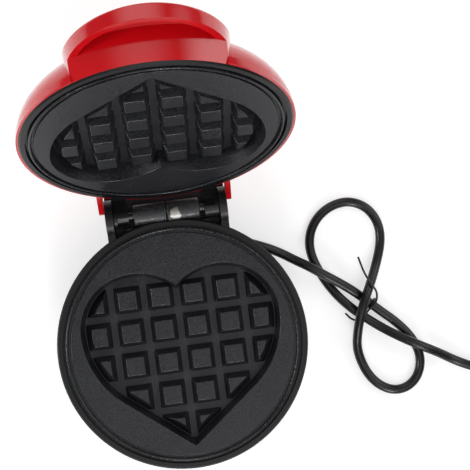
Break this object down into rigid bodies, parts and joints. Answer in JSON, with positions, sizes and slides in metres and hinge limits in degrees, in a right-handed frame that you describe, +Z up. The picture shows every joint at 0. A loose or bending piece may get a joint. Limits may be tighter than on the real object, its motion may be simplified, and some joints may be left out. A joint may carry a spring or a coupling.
{
  "type": "round waffle maker",
  "caption": "Round waffle maker, lid open: black base and glossy lid with hood handle, two cast plates with a heart-shaped grid, rear hinge, tied power cord.",
  "frame": {"origin": "on the table, in the middle of the outline of base and open lid, without the cord", "axes": "+Z up, +Y from the front edge to the hinge and the open lid, +X to the side where the cord leaves"},
  "size_m": [0.3209, 0.2933, 0.1569],
  "materials": {
    "base_plastic": "moulded black, fine texture",
    "lid_gloss": "glossy red",
    "frame_plastic": "moulded black, satin",
    "plate_coating": "dark non-stick coating on cast aluminium",
    "heater_steel": "heat-tinted tube",
    "terminal_steel": "nickel plated",
    "shield_sheet": "pressed sheet",
    "screw_steel": "zinc plated",
    "rubber": "soft black",
    "stat_ceramic": "pale heat-proof body",
    "fuse_case": "metal case",
    "block_plastic": "pale insulating plastic",
    "clamp_plastic": "black",
    "lead_sleeve": "glass-fibre sleeve",
    "cord_jacket": "black flexible jacket, slight gloss",
    "barrel_paint": "black, worn to bright metal in places",
    "pin_steel": "plain",
    "tie_plastic": "plastic-covered wire",
    "plug_plastic": "moulded black",
    "blade_metal": "nickel-plated brass",
    "lens_plastic": "clear red",
    "holder_plastic": "heat-proof sleeve",
    "lamp_glass": "neon lamp"
  },
  "bodies": {
    "base": {"base_housing": "base_plastic", "base_bottom_cover": "base_plastic", "rubber_feet": "rubber", "bottom_screws": "screw_steel", "lower_plate": "plate_coating", "lower_heater": "heater_steel", "lower_heater_terminals": "terminal_steel", "lower_heat_shield": "shield_sheet", "lower_plate_screws": "screw_steel", "thermostat": "stat_ceramic", "thermostat_screws": "screw_steel", "thermal_fuse": "fuse_case", "fuse_clip": "shield_sheet", "terminal_block": "block_plastic", "terminal_screws": "screw_steel", "cord_clamp": "clamp_plastic", "clamp_screws": "screw_steel", "strain_relief": "cord_jacket", "inner_cord": "cord_jacket", "heater_leads": "lead_sleeve", "hinge_pin_left": "pin_steel", "hinge_pin_right": "pin_steel", "hinge_barrel_left": "barrel_paint", "hinge_barrel_right": "barrel_paint", "power_cord": "cord_jacket", "cord_coil": "cord_jacket", "twist_tie": "tie_plastic", "plug_body": "plug_plastic", "plug_blades": "blade_metal"},
    "lid": {"lid_shell": "lid_gloss", "lid_frame": "frame_plastic", "lid_screws": "screw_steel", "upper_plate": "plate_coating", "upper_heater": "heater_steel", "upper_heater_terminals": "terminal_steel", "upper_heat_shield": "shield_sheet", "upper_plate_screws": "screw_steel", "indicator_lens": "lens_plastic", "lamp_holder": "holder_plastic", "indicator_lamp": "lamp_glass"}
  },
  "joints": [
    {"name": "lid_hinge", "type": "hinge", "parent": "base", "child": "lid", "pos_m": [0, 0.02285, 0.03], "axis": [-1, 0, 0], "range_deg": [-115, 0]}
  ]
}
